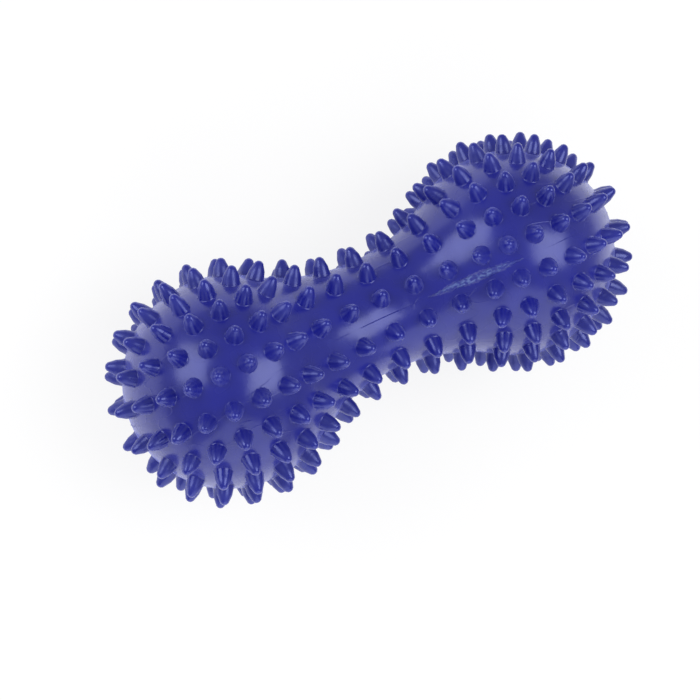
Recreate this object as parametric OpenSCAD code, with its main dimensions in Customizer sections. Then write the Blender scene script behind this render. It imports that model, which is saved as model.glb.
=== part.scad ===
// Spiky peanut massage ball: one soft moulded piece.
// The body is a revolve about X: two round lobes joined by a waisted neck.
// Rounded spikes stand square to the skin in rings around X.
// The mould parts in the XZ plane, and the spikes keep clear of that line.

/* [Body] */
// Length of the smooth body, pole to pole
body_l = 133.5; // [115:0.5:165]
// Diameter of each round lobe
lobe_d = 53; // [46:0.5:60]
// Diameter of the waist, halfway between the lobes
neck_d = 29; // [25:0.5:35]

/* [Spikes] */
// Height of a spike above the skin
spike_h = 4.75; // [3.5:0.05:6]
// Diameter of a spike just above its foot
spike_d = 4.4; // [3.6:0.1:5]
// Radius of the rounded tip
tip_r = 1.2; // [0.8:0.05:1.5]
// How far the foot flares out where it meets the skin
foot_flare = 0.35; // [0.1:0.05:0.5]

/* [Rings of spikes] */
// Distance from the parting plane to the rows of spikes beside it
row_gap = 4.4; // [3.8:0.1:5]
// Latitude of the last ring on a lobe, in degrees from its widest section
end_lat = 74; // [70:0.5:76]
// Spikes in the ring at the waist
waist_count = 12; // [8:2:12]
// Spikes in each ring from the waist out to where a lobe begins
neck_counts = [12, 14, 18];
// Spikes in each ring on a lobe, from the neck out to the pole
lobe_counts = [20, 22, 22, 18, 14, 10, 4];

/* [Parting line] */
// Width of the raised line that the mould leaves
line_w = 0.4; // [0.2:0.05:1]
// Height of that line above the skin
line_h = 0.15; // [0.05:0.05:0.3]

/* [Hidden] */
$fn = 64;

ball_colour = [0.2, 0.2, 0.55];

// How deep a spike's foot reaches into the body
foot_sink = 0.6;
// Arcs that meet overlap by this much, so that they join on a clean edge
arc_lap = 0.005;

lobe_r = lobe_d / 2;
neck_r = neck_d / 2;
// Centre of a lobe, along X from the waist
lobe_x = body_l / 2 - lobe_r;

// The neck is a hollow arc about a centre at this radius from the X axis.
// Its own radius is set so that it runs smoothly into both lobes.
neck_drop = lobe_r - neck_r;
arc_y = (pow(lobe_x, 2) - pow(neck_drop, 2)) / (2 * neck_drop);
arc_r = arc_y - neck_r;
// Half of the angle that the neck arc spans
arc_a = atan2(lobe_x, arc_y);
// Where the arc meets a lobe, along X from the waist
join_x = arc_r * sin(arc_a);

// The side of a spike is an arc, upright at the foot and blended into the tip
spike_r = spike_d / 2;
tip_z = spike_h - tip_r;
side_r = (pow(spike_r, 2) - pow(tip_r, 2) + pow(tip_z, 2)) / (2 * (spike_r - tip_r));
// Height at which the side meets the tip
blend_z = tip_z * side_r / (side_r - tip_r);

// Every ring as [x and radius of the skin there, lean of its normal, count]
neck_steps = len(neck_counts);
lobe_steps = len(lobe_counts);
rings = concat(
    [[0, neck_r, 0, waist_count]],
    [
        for (side = [-1, 1], i = [1 : neck_steps])
            let (a = arc_a * i / neck_steps)
                [side * arc_r * sin(a), arc_y - arc_r * cos(a), -side * a, neck_counts[i - 1]]
    ],
    [
        for (side = [-1, 1], i = [1 : lobe_steps])
            let (a = (end_lat + arc_a) * i / lobe_steps - arc_a)
                [side * (lobe_x + lobe_r * sin(a)), lobe_r * cos(a), side * a, lobe_counts[i - 1]]
    ]
);

// Angles around X of the spikes on one side of the parting plane.
// The first and last keep row_gap clear of it, and the rest are evenly spread.
function half_ring(r, count) =
    let (first = asin(row_gap / r), steps = count / 2 - 1)
        [for (i = [0 : steps]) first + i * (180 - 2 * first) / steps];

// Right half of a circle, as profiles lie to the right of the axis
module half_circle(r) {
    intersection() {
        circle(r);
        translate([0, -r])
            square([r, 2 * r]);
    }
}

// Half outline of the body about Y, with a given amount added to its radii
module half_outline(grow = 0) {
    for (side = [-1, 1])
        translate([0, side * lobe_x])
            half_circle(lobe_r + grow);
    difference() {
        translate([0, -join_x])
            square([lobe_r, 2 * join_x]);
        translate([arc_y, 0])
            circle(arc_r + arc_lap - grow);
    }
}

// Smooth body, turned about X
module body() {
    rotate([0, 90, 0])
        rotate_extrude()
            half_outline();
}

// Thin raised line all round the body in the XZ plane
module parting_line() {
    for (side = [0, 180])
        rotate([side, 0, 0])
            rotate([0, 90, 90])
                linear_extrude(height = line_w, center = true)
                    half_outline(line_h);
}

// One spike about Z, with the skin at z = 0
module spike() {
    rotate_extrude() {
        // Flared foot
        polygon([
            [0, -foot_sink],
            [spike_r + foot_flare + foot_sink, -foot_sink],
            [0, spike_r + foot_flare]
        ]);
        // Bulging side
        intersection() {
            translate([spike_r - side_r, 0])
                circle(side_r);
            square([spike_r, blend_z]);
        }
        // Rounded tip
        translate([0, tip_z])
            half_circle(tip_r + arc_lap);
    }
}

// All spikes, each square to the skin, mirrored across the parting plane
module spikes() {
    for (ring = rings, a = half_ring(ring[1], ring[3]), side = [-1, 1])
        rotate([side * a, 0, 0])
            translate([ring[0], 0, ring[1]])
                rotate([0, ring[2], 0])
                    spike();
}

module massage_ball() {
    color(ball_colour) {
        body();
        parting_line();
        spikes();
    }
}

massage_ball();
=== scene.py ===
"""Looks of the spiky peanut massage ball, built round its packed CAD part."""

import math
import random

import bpy
from bpy.props import FloatProperty, FloatVectorProperty, IntProperty, PointerProperty
from bpy.types import Operator, Panel, PropertyGroup
from mathutils import Euler, Matrix, Vector, kdtree, noise


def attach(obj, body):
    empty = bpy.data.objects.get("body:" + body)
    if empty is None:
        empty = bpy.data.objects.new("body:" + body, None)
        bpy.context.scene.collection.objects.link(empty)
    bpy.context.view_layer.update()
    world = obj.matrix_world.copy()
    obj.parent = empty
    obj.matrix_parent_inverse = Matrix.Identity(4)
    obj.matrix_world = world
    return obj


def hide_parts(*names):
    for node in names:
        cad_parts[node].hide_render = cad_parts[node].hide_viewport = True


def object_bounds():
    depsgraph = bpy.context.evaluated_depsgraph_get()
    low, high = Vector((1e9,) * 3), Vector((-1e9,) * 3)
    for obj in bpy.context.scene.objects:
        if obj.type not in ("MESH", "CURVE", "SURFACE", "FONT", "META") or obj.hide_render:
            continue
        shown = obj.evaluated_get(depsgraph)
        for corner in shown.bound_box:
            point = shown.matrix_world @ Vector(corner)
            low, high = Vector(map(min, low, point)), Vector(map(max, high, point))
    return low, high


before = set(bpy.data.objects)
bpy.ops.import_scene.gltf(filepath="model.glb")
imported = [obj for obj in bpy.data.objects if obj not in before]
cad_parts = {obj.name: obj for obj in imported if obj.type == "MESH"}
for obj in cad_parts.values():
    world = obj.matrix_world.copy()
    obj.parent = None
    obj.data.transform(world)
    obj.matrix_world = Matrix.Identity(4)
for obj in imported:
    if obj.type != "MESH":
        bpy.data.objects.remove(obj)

bl_info = {
    "name": "Peanut massage ball",
    "version": (1, 0, 0),
    "blender": (4, 5, 0),
    "location": "3D view > Sidebar > Massage ball",
    "description": "Models a spiky peanut massage ball in soft PVC and its stage",
    "category": "Object",
}

CAD_LOW, CAD_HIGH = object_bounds()

MOULDING = "massage_ball_moulding"
SPIKES = "massage_ball_spikes"

# What a point of the mesh keeps: its height above the skin as a share of a spike, and its normal
RISE = "rise"
LAY = "lay"

# Spikes in each ring, from the waist out to a lobe, and on a lobe from the neck to its pole
WAIST_COUNT = 12
NECK_COUNTS = (12, 14, 18)
LOBE_COUNTS = (20, 22, 22, 18, 14, 10, 4)

# Start of the random draws that make each spike a little different
SEED = 7


class MassageBallShape(PropertyGroup):
    """Sizes of the moulding."""

    body_length: FloatProperty(
        name="Body length",
        description="Length of the smooth body, pole to pole",
        default=0.1335,
        min=0.11,
        max=0.17,
        unit="LENGTH",
    )
    lobe_diameter: FloatProperty(
        name="Lobe diameter",
        description="Diameter of each round lobe without its spikes",
        default=0.053,
        min=0.045,
        max=0.06,
        unit="LENGTH",
    )
    neck_diameter: FloatProperty(
        name="Waist diameter",
        description="Diameter halfway between the lobes",
        default=0.029,
        min=0.025,
        max=0.035,
        unit="LENGTH",
    )
    end_latitude: FloatProperty(
        name="Last ring",
        description="Latitude of the last ring of spikes on a lobe",
        default=math.radians(74),
        min=math.radians(68),
        max=math.radians(76),
        unit="ROTATION",
    )
    row_gap: FloatProperty(
        name="Row gap",
        description="Distance from the parting plane to the rows of spikes beside it",
        default=0.0044,
        min=0.0038,
        max=0.005,
        unit="LENGTH",
    )
    spike_height: FloatProperty(
        name="Spike height",
        description="Height of a spike above the skin",
        default=0.00475,
        min=0.0035,
        max=0.006,
        unit="LENGTH",
    )
    spike_diameter: FloatProperty(
        name="Spike diameter",
        description="Diameter of a spike just above its foot",
        default=0.0044,
        min=0.0036,
        max=0.005,
        unit="LENGTH",
    )
    tip_radius: FloatProperty(
        name="Tip radius",
        description="Radius of the rounded tip",
        default=0.00125,
        min=0.0008,
        max=0.0015,
        unit="LENGTH",
    )
    spike_sides: IntProperty(
        name="Spike sides",
        description="Number of faces round a spike",
        default=14,
        min=8,
        max=24,
    )
    lean: FloatProperty(
        name="Stray lean",
        description="Most that a soft spike leans away from square",
        default=math.radians(4),
        min=0.0,
        max=math.radians(10),
        unit="ROTATION",
    )
    sag: FloatProperty(
        name="Unevenness",
        description="How far the soft wall strays from its true shape",
        default=0.0005,
        min=0.0,
        max=0.001,
        unit="LENGTH",
    )
    seam_width: FloatProperty(
        name="Seam width",
        description="Width of the ridge that the mould's parting line leaves",
        default=0.0005,
        min=0.0003,
        max=0.001,
        unit="LENGTH",
    )
    seam_height: FloatProperty(
        name="Seam height",
        description="Height of that ridge above the skin",
        default=0.00012,
        min=0.00005,
        max=0.0003,
        unit="LENGTH",
    )


class MassageBallFinish(PropertyGroup):
    """Colours and gloss of the soft PVC."""

    skin_colour: FloatVectorProperty(
        name="Skin",
        description="Colour of the soft plastic",
        subtype="COLOR",
        size=3,
        default=(0.006, 0.008, 0.23),
        min=0.0,
        max=1.0,
    )
    deep_colour: FloatVectorProperty(
        name="Deep skin",
        description="Colour where the plastic is a little thicker or more dyed",
        subtype="COLOR",
        size=3,
        default=(0.004, 0.005, 0.19),
        min=0.0,
        max=1.0,
    )
    scar_colour: FloatVectorProperty(
        name="Trim scar",
        description="Pale colour of the torn skin where flash was trimmed off the seam",
        subtype="COLOR",
        size=3,
        default=(0.11, 0.17, 0.42),
        min=0.0,
        max=1.0,
    )
    gloss_colour: FloatVectorProperty(
        name="Gloss",
        description="Tint that the dye gives to the reflections",
        subtype="COLOR",
        size=3,
        default=(0.45, 0.52, 1.0),
        min=0.0,
        max=1.0,
    )
    bloom_colour: FloatVectorProperty(
        name="Bloom",
        description="Colour of the soft light that the skin gives at a low angle",
        subtype="COLOR",
        size=3,
        default=(0.4, 0.44, 1.0),
        min=0.0,
        max=1.0,
    )
    bloom: FloatProperty(
        name="Bloom weight",
        description="Strength of that soft light",
        subtype="FACTOR",
        default=0.85,
        min=0.0,
        max=1.0,
    )
    roughness_low: FloatProperty(
        name="Least roughness",
        description="Roughness of the glossiest skin",
        subtype="FACTOR",
        default=0.2,
        min=0.0,
        max=1.0,
    )
    roughness_high: FloatProperty(
        name="Most roughness",
        description="Roughness of the dullest skin",
        subtype="FACTOR",
        default=0.3,
        min=0.0,
        max=1.0,
    )


class MassageBallStudio(PropertyGroup):
    """Camera, floor and lights."""

    camera_distance: FloatProperty(
        name="Camera distance",
        description="Distance from the camera to the middle of the ball",
        default=0.4771,
        min=0.2,
        max=3.0,
        unit="LENGTH",
    )
    camera_turn: FloatVectorProperty(
        name="Camera turn",
        description="Turn of the camera about X, Y and Z",
        subtype="EULER",
        unit="ROTATION",
        size=3,
        default=(-0.1097, -0.2283, -0.4315),
    )
    camera_offset: FloatVectorProperty(
        name="Camera offset",
        description="How far the camera stands to its own left and down from the middle",
        subtype="TRANSLATION",
        unit="LENGTH",
        size=2,
        default=(-0.0058, -0.00865),
    )
    lens: FloatProperty(
        name="Lens",
        description="Focal length on a 36 mm wide sensor, in millimetres",
        default=97.13,
        min=35.0,
        max=200.0,
    )
    floor_colour: FloatVectorProperty(
        name="Floor",
        description="Colour of the white floor",
        subtype="COLOR",
        size=3,
        default=(0.92, 0.92, 0.92),
        min=0.0,
        max=1.0,
    )
    box_power: FloatProperty(
        name="Soft boxes",
        description="Power of a soft box beside the camera, in watts",
        default=3.0,
        min=0.0,
        max=200.0,
    )
    world_strength: FloatProperty(
        name="Room light",
        description="Strength of the even light from the white room",
        default=0.72,
        min=0.0,
        max=2.0,
    )
    room_sheen: FloatProperty(
        name="Room sheen",
        description="Strength at which the room shows in the ball's gloss",
        default=0.45,
        min=0.0,
        max=2.0,
    )


def group(context, name):
    """One of the settings groups kept on the scene."""
    return getattr(context.scene, name)


class BodyOutline:
    """Skin of the smooth body: two ball lobes that a hollow arc joins, turned about X."""

    def __init__(self, shape):
        self.lobe_r = shape.lobe_diameter / 2
        self.neck_r = shape.neck_diameter / 2
        self.lobe_x = shape.body_length / 2 - self.lobe_r
        drop = self.lobe_r - self.neck_r
        self.arc_y = (self.lobe_x**2 - drop**2) / (2 * drop)
        self.arc_r = self.arc_y - self.neck_r
        self.arc_a = math.atan2(self.lobe_x, self.arc_y)
        self.neck_len = self.arc_r * self.arc_a
        self.half_len = self.neck_len + self.lobe_r * (self.arc_a + math.pi / 2)

    def neck(self, angle):
        """Distance along X and from it of a place on the neck, and the lean of its normal."""
        x = self.arc_r * math.sin(angle)
        return x, self.arc_y - self.arc_r * math.cos(angle), -angle

    def lobe(self, latitude):
        """The same for a place on a lobe."""
        x = self.lobe_x + self.lobe_r * math.sin(latitude)
        return x, self.lobe_r * math.cos(latitude), latitude

    def along(self, way):
        """The same for a place that lies this far along the outline from the waist."""
        side = -1 if way < 0 else 1
        way = abs(way)
        if way < self.neck_len:
            x, r, lean = self.neck(way / self.arc_r)
        else:
            x, r, lean = self.lobe((way - self.neck_len) / self.lobe_r - self.arc_a)
        return side * x, r, side * lean

    def height(self, point):
        """Height of a point above the skin, square to it."""
        x, r = abs(point.x), math.hypot(point.y, point.z)
        if math.atan2(x, self.arc_y - r) < self.arc_a:
            return self.arc_r - math.hypot(x, self.arc_y - r)
        return math.hypot(x - self.lobe_x, r) - self.lobe_r

    def normal(self, point):
        """Direction square to the skin at a point."""
        x, r = abs(point.x), math.hypot(point.y, point.z)
        if math.atan2(x, self.arc_y - r) < self.arc_a:
            along, away = -x, self.arc_y - r
        else:
            along, away = x - self.lobe_x, r
        turn = math.atan2(point.y, point.z)
        return Vector(
            (math.copysign(along, along * point.x), away * math.sin(turn), away * math.cos(turn))
        ).normalized()

    def rings(self, shape):
        """Every ring of spikes: its place on the outline and its number of spikes."""
        yield (*self.neck(0.0), WAIST_COUNT)
        places = [
            (*self.neck(self.arc_a * (i + 1) / len(NECK_COUNTS)), count)
            for i, count in enumerate(NECK_COUNTS)
        ]
        pitch = (shape.end_latitude + self.arc_a) / len(LOBE_COUNTS)
        places += [
            (*self.lobe(pitch * (i + 1) - self.arc_a), count)
            for i, count in enumerate(LOBE_COUNTS)
        ]
        for x, r, lean, count in places:
            yield x, r, lean, count
            yield -x, r, -lean, count

    def spike_places(self, shape):
        """Where each spike stands: its foot, and its own axes with Z square to the skin."""
        for x, r, lean, count in self.rings(shape):
            first = math.asin(shape.row_gap / r)
            step = (math.pi - 2 * first) / (count // 2 - 1)
            for i in range(count // 2):
                for side in (-1, 1):
                    turn = side * (first + i * step)
                    foot = Vector((x, r * math.sin(turn), r * math.cos(turn)))
                    axes = Matrix.Rotation(-turn, 3, "X") @ Matrix.Rotation(lean, 3, "Y")
                    yield foot, axes


def deselect_all():
    if bpy.context.object and bpy.context.object.mode != "OBJECT":
        bpy.ops.object.mode_set(mode="OBJECT")
    bpy.ops.object.select_all(action="DESELECT")


def make_active(piece):
    deselect_all()
    piece.select_set(True)
    bpy.context.view_layer.objects.active = piece


def named(piece, name):
    piece.name = piece.data.name = name
    return piece


def apply_modifier(piece, kind, **settings):
    make_active(piece)
    modifier = piece.modifiers.new(kind.lower(), kind)
    for key, value in settings.items():
        setattr(modifier, key, value)
    bpy.ops.object.modifier_apply(modifier=modifier.name)


def check_closed(piece):
    """Stops with a message if an edge of the mesh doesn't join exactly two faces."""
    uses = {}
    for face in piece.data.polygons:
        for key in face.edge_keys:
            uses[key] = uses.get(key, 0) + 1
    bad = sum(1 for n in uses.values() if n != 2)
    if bad:
        raise RuntimeError(f"{piece.name} has {bad} edges that do not join two faces")


class MASSAGEBALL_OT_turn_skin(Operator):
    """Turn the smooth skin of the two lobes and the neck about the long axis"""

    bl_idname = "massage_ball.turn_skin"
    bl_label = "Turn the skin"

    def execute(self, context):
        shape = group(context, "massage_ball_shape")
        outline = BodyOutline(shape)
        stations = 144
        around = 128
        seed_plane = 0.001
        weld = 0.000005
        places = [
            outline.along(outline.half_len * (2 * i / stations - 1))
            for i in range(stations + 1)
        ]
        # A small plane merged to one point starts the outline, which is then drawn and spun
        deselect_all()
        bpy.ops.mesh.primitive_plane_add(size=seed_plane, location=(0, 0, 0))
        skin = named(context.object, MOULDING)
        bpy.ops.object.mode_set(mode="EDIT")
        bpy.ops.mesh.select_all(action="SELECT")
        bpy.ops.mesh.merge(type="CENTER")
        bpy.ops.transform.translate(value=(places[0][0], 0, 0))
        for before, after in zip(places, places[1:]):
            step = (after[0] - before[0], 0, after[1] - before[1])
            bpy.ops.mesh.extrude_region_move(TRANSFORM_OT_translate={"value": step})
        bpy.ops.mesh.select_all(action="SELECT")
        bpy.ops.mesh.spin(steps=around, angle=math.tau, center=(0, 0, 0), axis=(1, 0, 0))
        bpy.ops.mesh.select_all(action="SELECT")
        bpy.ops.mesh.remove_doubles(threshold=weld)
        bpy.ops.mesh.normals_make_consistent(inside=False)
        bpy.ops.object.mode_set(mode="OBJECT")
        self.raise_seam(skin, outline, shape, math.tau / around)
        check_closed(skin)
        return {"FINISHED"}

    @staticmethod
    def raise_seam(skin, outline, shape, step):
        """Lifts the row on the parting plane, and draws the rows beside it up to it."""
        on_plane, beside_plane = 0.1, 1.1
        half_width = shape.seam_width / 2
        for vertex in skin.data.vertices:
            place = vertex.co
            row = abs(math.atan2(place.y, abs(place.z))) / step
            if row < on_plane:
                vertex.co += shape.seam_height * outline.normal(place)
            elif row < beside_plane and abs(place.y) > half_width:
                r = math.hypot(place.y, place.z)
                y = math.copysign(half_width, place.y)
                z = math.copysign(math.sqrt(r**2 - y**2), place.z)
                vertex.co = (place.x, y, z)


def spike_stations(shape):
    """Radius and height of each edge loop of a spike, from under the skin to below the tip."""
    r = shape.spike_diameter / 2
    tip = shape.tip_radius
    tip_z = shape.spike_height - tip
    side_r = (r**2 - tip**2 + tip_z**2) / (2 * (r - tip))
    side_end = tip_z * side_r / (side_r - tip)

    def side(z):
        return r - side_r + math.sqrt(side_r**2 - z**2)

    # The root and the rim of the foot lie under the skin, then the foot's flare runs out
    mm = 0.001
    middle = 2.2 * mm
    stations = [
        (r - 0.1 * mm, -0.6 * mm),
        (r + 0.5 * mm, -0.12 * mm),
        (r + 0.2 * mm, 0.05 * mm),
        (r + 0.03 * mm, 0.3 * mm),
        (side(middle), middle),
    ]
    # The round tip starts just past the side's end and closes from high up
    just_past, high_up = math.radians(4), math.radians(64)
    for angle in (math.asin((side_end - tip_z) / tip) + just_past, high_up):
        stations.append((tip * math.cos(angle), tip_z + tip * math.sin(angle)))
    return stations


def store_normals(mesh, shape, stations):
    """Keeps the true normals of a round spike, which a few flat faces don't have."""
    upright = math.pi / 2
    foot_rim = 1
    ends = [*stations, (0.0, shape.spike_height)]
    leans = []
    for i in range(len(stations)):
        lean = 0.0
        for a, b in ((ends[max(i - 1, 0)], ends[i]), (ends[i], ends[i + 1])):
            lean += math.atan2(a[0] - b[0], b[1] - a[1]) / 2
        leans.append(lean)
    leans[foot_rim] = upright
    leans.append(upright)
    values = []
    for vertex in mesh.vertices:
        x, y, z = vertex.co
        near = min(range(len(ends)), key=lambda i: abs(ends[i][1] - z))
        turn = math.atan2(y, x)
        flat = math.cos(leans[near])
        values += [flat * math.cos(turn), flat * math.sin(turn), math.sin(leans[near])]
    mesh.attributes.new(LAY, "FLOAT_VECTOR", "POINT").data.foreach_set("vector", values)


class MASSAGEBALL_OT_set_spikes(Operator):
    """Model one rounded spike and set a copy at each place on the skin"""

    bl_idname = "massage_ball.set_spikes"
    bl_label = "Set the spikes"

    def execute(self, context):
        shape = group(context, "massage_ball_shape")
        outline = BodyOutline(shape)
        stations = spike_stations(shape)
        deselect_all()
        radius, height = stations[0]
        bpy.ops.mesh.primitive_circle_add(
            vertices=shape.spike_sides,
            radius=radius,
            fill_type="NGON",
            location=(0, 0, 0),
        )
        spike = named(context.object, "spike")
        bpy.ops.object.mode_set(mode="EDIT")
        bpy.ops.mesh.select_all(action="SELECT")
        bpy.ops.transform.translate(value=(0, 0, height))
        for next_radius, next_height in stations[1:]:
            rise = (0, 0, next_height - height)
            bpy.ops.mesh.extrude_region_move(TRANSFORM_OT_translate={"value": rise})
            scale = next_radius / radius
            bpy.ops.transform.resize(value=(scale, scale, 1), center_override=(0, 0, next_height))
            radius, height = next_radius, next_height
        rise = (0, 0, shape.spike_height - height)
        bpy.ops.mesh.extrude_region_move(TRANSFORM_OT_translate={"value": rise})
        bpy.ops.mesh.merge(type="CENTER")
        bpy.ops.mesh.select_all(action="SELECT")
        bpy.ops.mesh.normals_make_consistent(inside=False)
        bpy.ops.object.mode_set(mode="OBJECT")
        check_closed(spike)
        store_normals(spike.data, shape, stations)

        chance = random.Random(SEED)
        deselect_all()
        for foot, axes in outline.spike_places(shape):
            copy = spike.copy()
            copy.data = spike.data.copy()
            context.collection.objects.link(copy)
            self.plant(copy.data, foot, axes, outline, shape, chance)
            copy.select_set(True)
            last = copy
        context.view_layer.objects.active = last
        bpy.ops.object.join()
        named(last, SPIKES)
        bpy.data.objects.remove(spike)
        return {"FINISHED"}

    @staticmethod
    def plant(mesh, foot, axes, outline, shape, chance):
        """Plants one spike, its foot shaped to the skin and its top a little astray."""
        few_lean_far = 1.5
        shortest, longest = 0.96, 1.03
        foot_height = 0.0008
        about = chance.uniform(0, math.tau)
        lean = shape.lean * chance.random() ** few_lean_far
        tilt = Matrix.Rotation(lean, 3, Vector((math.cos(about), math.sin(about), 0)))
        length = chance.uniform(shortest, longest)
        spin = Matrix.Rotation(chance.uniform(0, math.tau), 3, "Z")
        for vertex, lay in zip(mesh.vertices, mesh.attributes[LAY].data):
            place = spin @ vertex.co
            hold = min(1.0, max(0.0, 1 - place.z / foot_height))
            flat = foot + axes @ Vector((place.x, place.y, 0))
            drop = outline.height(flat)
            free = tilt @ Vector((place.x, place.y, place.z * length))
            place = place.lerp(free, 1 - hold)
            vertex.co = foot + axes @ (place - Vector((0, 0, hold * drop)))
            lay.vector = axes @ tilt.lerp(Matrix.Identity(3), hold) @ spin @ lay.vector


class MASSAGEBALL_OT_fuse_moulding(Operator):
    """Fuse skin and spikes into one soft moulding"""

    bl_idname = "massage_ball.fuse_moulding"
    bl_label = "Fuse the moulding"

    def execute(self, context):
        shape = group(context, "massage_ball_shape")
        outline = BodyOutline(shape)
        weld = 0.000002
        same_place = 0.000003
        ball = bpy.data.objects[MOULDING]
        spikes = bpy.data.objects[SPIKES]
        tree = kdtree.KDTree(len(spikes.data.vertices))
        for vertex in spikes.data.vertices:
            tree.insert(vertex.co, vertex.index)
        tree.balance()
        kept = [lay.vector.copy() for lay in spikes.data.attributes[LAY].data]
        apply_modifier(ball, "BOOLEAN", operation="UNION", solver="MANIFOLD", object=spikes)
        bpy.data.objects.remove(spikes)
        # The union leaves slivers, which go when close points merge and the faces become triangles
        make_active(ball)
        bpy.ops.object.mode_set(mode="EDIT")
        bpy.ops.mesh.select_all(action="SELECT")
        bpy.ops.mesh.remove_doubles(threshold=weld)
        bpy.ops.mesh.quads_convert_to_tris(quad_method="BEAUTY", ngon_method="BEAUTY")
        bpy.ops.object.mode_set(mode="OBJECT")
        check_closed(ball)
        mesh = ball.data
        if LAY in mesh.attributes:
            mesh.attributes.remove(mesh.attributes[LAY])
        lays = []
        rises = []
        for vertex in mesh.vertices:
            _, index, distance = tree.find(vertex.co)
            lays.append(kept[index] if distance < same_place else outline.normal(vertex.co))
            rise = outline.height(vertex.co) / shape.spike_height
            rises.append(min(1.0, max(0.0, rise)))
        mesh.attributes.new(RISE, "FLOAT", "POINT").data.foreach_set("value", rises)
        self.sag_wall(mesh, shape, lays)
        make_active(ball)
        bpy.ops.object.shade_smooth()
        mesh.normals_split_custom_set_from_vertices(lays)
        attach(ball, "root")
        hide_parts("massage_ball")
        return {"FINISHED"}

    @staticmethod
    def sag_wall(mesh, shape, lays):
        """Moves the soft wall a little, in slow waves, and turns its normals with it."""
        wave_length = 0.022
        slope_step = 0.0002
        # Places in the noise that are far apart, so that each axis strays by itself
        far = 7.3
        apart = (Vector((0.0, 0.0, 0.0)), Vector((far, 0.0, 0.0)), Vector((0.0, far, 0.0)))

        def drift(place):
            here = place / wave_length
            return shape.sag * Vector([noise.noise(here + shift) for shift in apart])

        for i, vertex in enumerate(mesh.vertices):
            here = drift(vertex.co)
            slope = [
                lays[i].dot(drift(vertex.co + slope_step * axis) - here) / slope_step
                for axis in Matrix.Identity(3)
            ]
            lays[i] = (lays[i] - Vector(slope)).normalized()
            vertex.co += here


def new_node(tree, kind, **settings):
    """A node with these settings, where in_ stands before the name of a socket."""
    node = tree.nodes.new(kind)
    for key, value in settings.items():
        if key.startswith("in_"):
            node.inputs[key[3:].replace("_", " ")].default_value = value
        else:
            setattr(node, key, value)
    return node


def link(tree, source, target):
    tree.links.new(source, target)


def sums(tree, operation, *values):
    """A Math node on sockets or plain numbers."""
    node = new_node(tree, "ShaderNodeMath", operation=operation)
    for value, target in zip(values, node.inputs):
        if isinstance(value, (int, float)):
            target.default_value = value
        else:
            link(tree, value, target)
    return node.outputs[0]


def ramp(tree, value, start, end, low=0.0, high=1.0):
    """A smooth step from low at start to high at end."""
    node = new_node(tree, "ShaderNodeMapRange", interpolation_type="SMOOTHSTEP")
    if start > end:
        start, end, low, high = end, start, high, low
    for name, number in (
        ("From Min", start),
        ("From Max", end),
        ("To Min", low),
        ("To Max", high),
    ):
        node.inputs[name].default_value = number
    link(tree, value, node.inputs["Value"])
    return node.outputs["Result"]


def blend(tree, factor, first, second):
    """A mix of two colours."""
    node = new_node(tree, "ShaderNodeMix", data_type="RGBA")
    link(tree, factor, node.inputs["Factor"])
    for value, name in ((first, "A"), (second, "B")):
        if isinstance(value, bpy.types.NodeSocket):
            link(tree, value, node.inputs[name])
        else:
            node.inputs[name].default_value = (*value, 1)
    return node.outputs["Result"]


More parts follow.
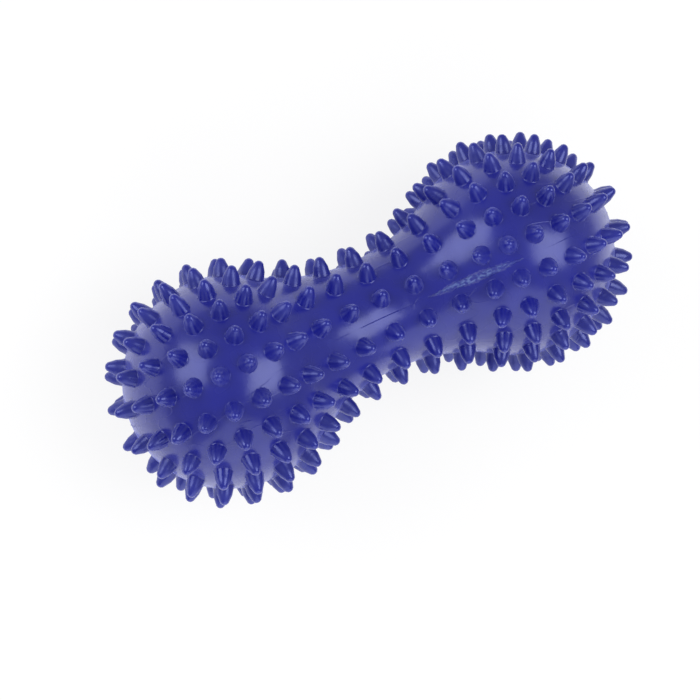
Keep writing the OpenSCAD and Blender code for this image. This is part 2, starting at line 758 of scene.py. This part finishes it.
class MASSAGEBALL_OT_dress_surface(Operator):
    """Give the moulding its soft PVC surface"""

    bl_idname = "massage_ball.dress_surface"
    bl_label = "Dress the surface"

    def execute(self, context):
        finish = group(context, "massage_ball_finish")
        material = bpy.data.materials.new("Soft blue PVC")
        material.use_nodes = True
        tree = material.node_tree
        shader = tree.nodes["Principled BSDF"]
        shader.inputs["IOR"].default_value = 1.65
        shader.inputs["Specular Tint"].default_value = (*finish.gloss_colour, 1)
        shader.inputs["Sheen Roughness"].default_value = 0.4
        shader.inputs["Sheen Tint"].default_value = (*finish.bloom_colour, 1)
        shader.inputs["Coat Roughness"].default_value = 0.2

        place = new_node(tree, "ShaderNodeTexCoord").outputs["Object"]
        axes = new_node(tree, "ShaderNodeSeparateXYZ")
        link(tree, place, axes.inputs[0])
        clouds = self.cloud(tree, place, (45, 45, 45), 3)
        dents = self.cloud(tree, place, (130, 130, 130), 2)
        flecks = self.cloud(tree, place, (450, 1500, 1500), 3)
        scar = self.trim_scar(tree, axes.outputs, flecks)

        dyed = ramp(tree, clouds, 0.35, 0.65)
        colour = blend(tree, dyed, finish.skin_colour, finish.deep_colour)
        torn = sums(tree, "MULTIPLY", scar, ramp(tree, flecks, 0.46, 0.62, 0.05, 0.75))
        colour = blend(tree, torn, colour, finish.scar_colour)
        link(tree, colour, shader.inputs["Base Color"])
        self.set_gloss(tree, shader, finish, dents, scar)

        # Each mark of the skin with its height in metres
        height = self.seam_step(tree, axes.outputs, self.cloud(tree, place, (70, 70, 70), 1))
        strands = self.cloud(tree, place, (60, 210, 120), 1)
        for mark, size in (
            (self.scratches(tree, strands, clouds), 0.000025),
            (self.cloud(tree, place, (900, 900, 900), 2), 0.000006),
            (dents, 0.00012),
            (sums(tree, "MULTIPLY", scar, flecks), 0.0005),
        ):
            height = sums(tree, "MULTIPLY_ADD", mark, size, height)
        bump = new_node(tree, "ShaderNodeBump", in_Strength=1.0, in_Distance=1.0)
        link(tree, height, bump.inputs["Height"])
        for name in ("Normal", "Coat Normal"):
            link(tree, bump.outputs["Normal"], shader.inputs[name])
        ball = bpy.data.objects[MOULDING]
        ball.data.materials.clear()
        ball.data.materials.append(material)
        return {"FINISHED"}

    @staticmethod
    def seam_step(tree, axes, wisps):
        """Step where the mould's halves met a hair out of line, whole on the glossy waist."""
        x, y, _ = axes
        step_height, half_width = 0.00009, 0.00016
        waist_x, whole_to, broken_from = -0.001, 0.005, 0.009
        from_waist = sums(tree, "ABSOLUTE", sums(tree, "SUBTRACT", x, waist_x))
        whole = ramp(tree, from_waist, broken_from, whole_to)
        broken = ramp(tree, wisps, 0.52, 0.66, 0.15, 0.7)
        step = sums(tree, "MULTIPLY", ramp(tree, y, -half_width, half_width), step_height)
        return sums(tree, "MULTIPLY", step, sums(tree, "MAXIMUM", whole, broken))

    @staticmethod
    def trim_scar(tree, axes, flecks):
        """Where flash was trimmed off the seam, widest in the middle and frayed at the edges."""
        x, y, z = axes
        middle, half_length = 0.0225, 0.0115
        edge, soft_edge, taper, fray = 0.0018, 0.0013, 0.001, 0.0012
        far = sums(tree, "DIVIDE", sums(tree, "SUBTRACT", x, middle), half_length)
        far = sums(tree, "POWER", far, 2.0)
        width = sums(tree, "MULTIPLY_ADD", far, taper, sums(tree, "ABSOLUTE", y))
        width = sums(tree, "MULTIPLY_ADD", flecks, fray, width)
        scar = ramp(tree, width, edge, soft_edge)
        return sums(tree, "MULTIPLY", scar, sums(tree, "GREATER_THAN", z, 0.0))

    @staticmethod
    def scratches(tree, strands, clouds):
        """Fine lines where the strands cross their middle value, in patches."""
        line = sums(tree, "ABSOLUTE", sums(tree, "SUBTRACT", strands, 0.5))
        line = ramp(tree, line, 0.02, 0.004)
        return sums(tree, "MULTIPLY", line, ramp(tree, clouds, 0.5, 0.58))

    @staticmethod
    def set_gloss(tree, shader, finish, dents, scar):
        """Gives skin, spikes and scar their own roughness, film, shine and bloom."""
        foot_end, worn_from = 0.3, 0.7
        rise = new_node(tree, "ShaderNodeAttribute", attribute_name=RISE).outputs["Fac"]
        rough = ramp(tree, dents, 0.35, 0.65, finish.roughness_low, finish.roughness_high)
        rough = sums(tree, "MULTIPLY_ADD", scar, 0.25, rough)
        sides = ramp(tree, rise, 0.0, foot_end, 1.0, 1.3)
        worn = sums(tree, "MULTIPLY", sides, ramp(tree, rise, worn_from, 1.0, 1.0, 0.5))
        link(tree, sums(tree, "MULTIPLY", rough, worn), shader.inputs["Roughness"])
        for socket, on_skin, on_spike in (
            ("Coat Weight", 0.5, 0.1),
            ("Specular IOR Level", 0.5, 0.85),
            ("Sheen Weight", finish.bloom, 0.6 * finish.bloom),
        ):
            link(tree, ramp(tree, rise, 0.0, foot_end, on_skin, on_spike), shader.inputs[socket])

    @staticmethod
    def cloud(tree, place, waves, detail):
        """Noise with this many waves to the metre along X, Y and Z."""
        spread = new_node(tree, "ShaderNodeVectorMath", operation="MULTIPLY")
        link(tree, place, spread.inputs[0])
        spread.inputs[1].default_value = waves
        node = new_node(tree, "ShaderNodeTexNoise", in_Scale=1.0, in_Detail=detail)
        link(tree, spread.outputs[0], node.inputs["Vector"])
        return node.outputs["Fac"]


class MASSAGEBALL_OT_light_stage(Operator):
    """Set the white floor, the soft lights and the camera"""

    bl_idname = "massage_ball.light_stage"
    bl_label = "Light the stage"

    def execute(self, context):
        studio = group(context, "massage_ball_studio")
        self.lay_floor(context, studio)
        turn = self.place_camera(context, studio)
        self.hang_lights(context, studio, turn)
        self.light_room(context, studio)
        context.scene.view_settings.view_transform = "Standard"
        return {"FINISHED"}

    @staticmethod
    def lay_floor(context, studio):
        """A white floor under the ball, which glows for the camera and keeps a soft shadow."""
        width, glow_share = 6, 0.8
        deselect_all()
        bpy.ops.mesh.primitive_plane_add(size=width, location=(0, 0, CAD_LOW.z))
        floor = named(context.object, "floor")
        material = bpy.data.materials.new("White floor")
        material.use_nodes = True
        tree = material.node_tree
        tree.nodes.clear()
        paper = new_node(tree, "ShaderNodeBsdfDiffuse")
        paper.inputs["Color"].default_value = (*studio.floor_colour, 1)
        glow = new_node(tree, "ShaderNodeEmission")
        ray = new_node(tree, "ShaderNodeLightPath")
        shown = new_node(tree, "ShaderNodeMixShader")
        seen = sums(tree, "MULTIPLY", ray.outputs["Is Camera Ray"], glow_share)
        for output, target in zip((seen, paper.outputs[0], glow.outputs[0]), shown.inputs):
            link(tree, output, target)
        out = new_node(tree, "ShaderNodeOutputMaterial")
        link(tree, shown.outputs[0], out.inputs["Surface"])
        floor.data.materials.append(material)

    @staticmethod
    def place_camera(context, studio):
        """Sets the camera and returns its turn, which the lights follow."""
        turn = Euler(studio.camera_turn, "ZYX").to_matrix()
        data = bpy.data.cameras.new("camera")
        data.lens = studio.lens
        data.clip_start = 0.01
        camera = bpy.data.objects.new("camera", data)
        context.scene.collection.objects.link(camera)
        offset = studio.camera_offset
        place = turn @ Vector((offset[0], offset[1], studio.camera_distance))
        camera.matrix_world = Matrix.Translation(place) @ turn.to_4x4()
        context.scene.camera = camera
        return turn

    @staticmethod
    def hang_lights(context, studio, turn):
        """Hangs soft boxes round the ball, at angles in degrees from the camera's side."""
        reach = 1
        for name, across, up, size, share in (
            ("left box", -40, 17, 0.6, 1.0),
            ("right box", 40, 4, 0.6, 1.15),
            ("low fill", 40, -70, 1.2, 1.5),
        ):
            data = bpy.data.lights.new(name, "AREA")
            data.shape = "SQUARE"
            data.size = size
            data.energy = studio.box_power * share
            lamp = bpy.data.objects.new(name, data)
            context.scene.collection.objects.link(lamp)
            swing = Euler((math.radians(-up), math.radians(across), 0), "XYZ").to_matrix()
            aim = turn @ swing
            lamp.matrix_world = Matrix.Translation(aim @ Vector((0, 0, reach))) @ aim.to_4x4()

    @staticmethod
    def light_room(context, studio):
        """A room that is white to the camera, even on the ball and a little dimmer in its gloss."""
        world = bpy.data.worlds.new("white room")
        context.scene.world = world
        world.use_nodes = True
        tree = world.node_tree
        tree.nodes.clear()
        room = new_node(tree, "ShaderNodeBackground")
        room.inputs["Color"].default_value = (1, 1, 1, 1)
        ray = new_node(tree, "ShaderNodeLightPath")
        unseen = new_node(tree, "ShaderNodeMix", data_type="FLOAT")
        unseen.inputs["A"].default_value = studio.world_strength
        unseen.inputs["B"].default_value = studio.room_sheen
        link(tree, ray.outputs["Is Glossy Ray"], unseen.inputs["Factor"])
        strength = new_node(tree, "ShaderNodeMix", data_type="FLOAT")
        strength.inputs["B"].default_value = 1.0
        link(tree, unseen.outputs["Result"], strength.inputs["A"])
        link(tree, ray.outputs["Is Camera Ray"], strength.inputs["Factor"])
        link(tree, strength.outputs["Result"], room.inputs["Strength"])
        out = new_node(tree, "ShaderNodeOutputWorld")
        link(tree, room.outputs["Background"], out.inputs["Surface"])


class MASSAGEBALL_PT_panel(Panel):
    """Sidebar panel with the ball's sizes, finish and making"""

    bl_idname = "MASSAGEBALL_PT_panel"
    bl_label = "Massage ball"
    bl_space_type = "VIEW_3D"
    bl_region_type = "UI"
    bl_category = "Massage ball"

    def draw(self, context):
        layout = self.layout
        for name, kind in SETTINGS:
            settings = group(context, name)
            box = layout.box()
            box.label(text=kind.__doc__.rstrip("."))
            for key in kind.__annotations__:
                box.prop(settings, key)
        for operator in STEPS:
            layout.operator(operator.bl_idname)


SETTINGS = (
    ("massage_ball_shape", MassageBallShape),
    ("massage_ball_finish", MassageBallFinish),
    ("massage_ball_studio", MassageBallStudio),
)
STEPS = (
    MASSAGEBALL_OT_turn_skin,
    MASSAGEBALL_OT_set_spikes,
    MASSAGEBALL_OT_fuse_moulding,
    MASSAGEBALL_OT_dress_surface,
    MASSAGEBALL_OT_light_stage,
)


def register():
    for name, kind in SETTINGS:
        bpy.utils.register_class(kind)
        setattr(bpy.types.Scene, name, PointerProperty(type=kind))
    for kind in (*STEPS, MASSAGEBALL_PT_panel):
        bpy.utils.register_class(kind)


def unregister():
    for kind in reversed((*STEPS, MASSAGEBALL_PT_panel)):
        bpy.utils.unregister_class(kind)
    for name, kind in reversed(SETTINGS):
        delattr(bpy.types.Scene, name)
        bpy.utils.unregister_class(kind)


def main():
    register()
    bpy.ops.massage_ball.turn_skin()
    bpy.ops.massage_ball.set_spikes()
    bpy.ops.massage_ball.fuse_moulding()
    bpy.ops.massage_ball.dress_surface()
    bpy.ops.massage_ball.light_stage()


if __name__ == "__main__":
    main()
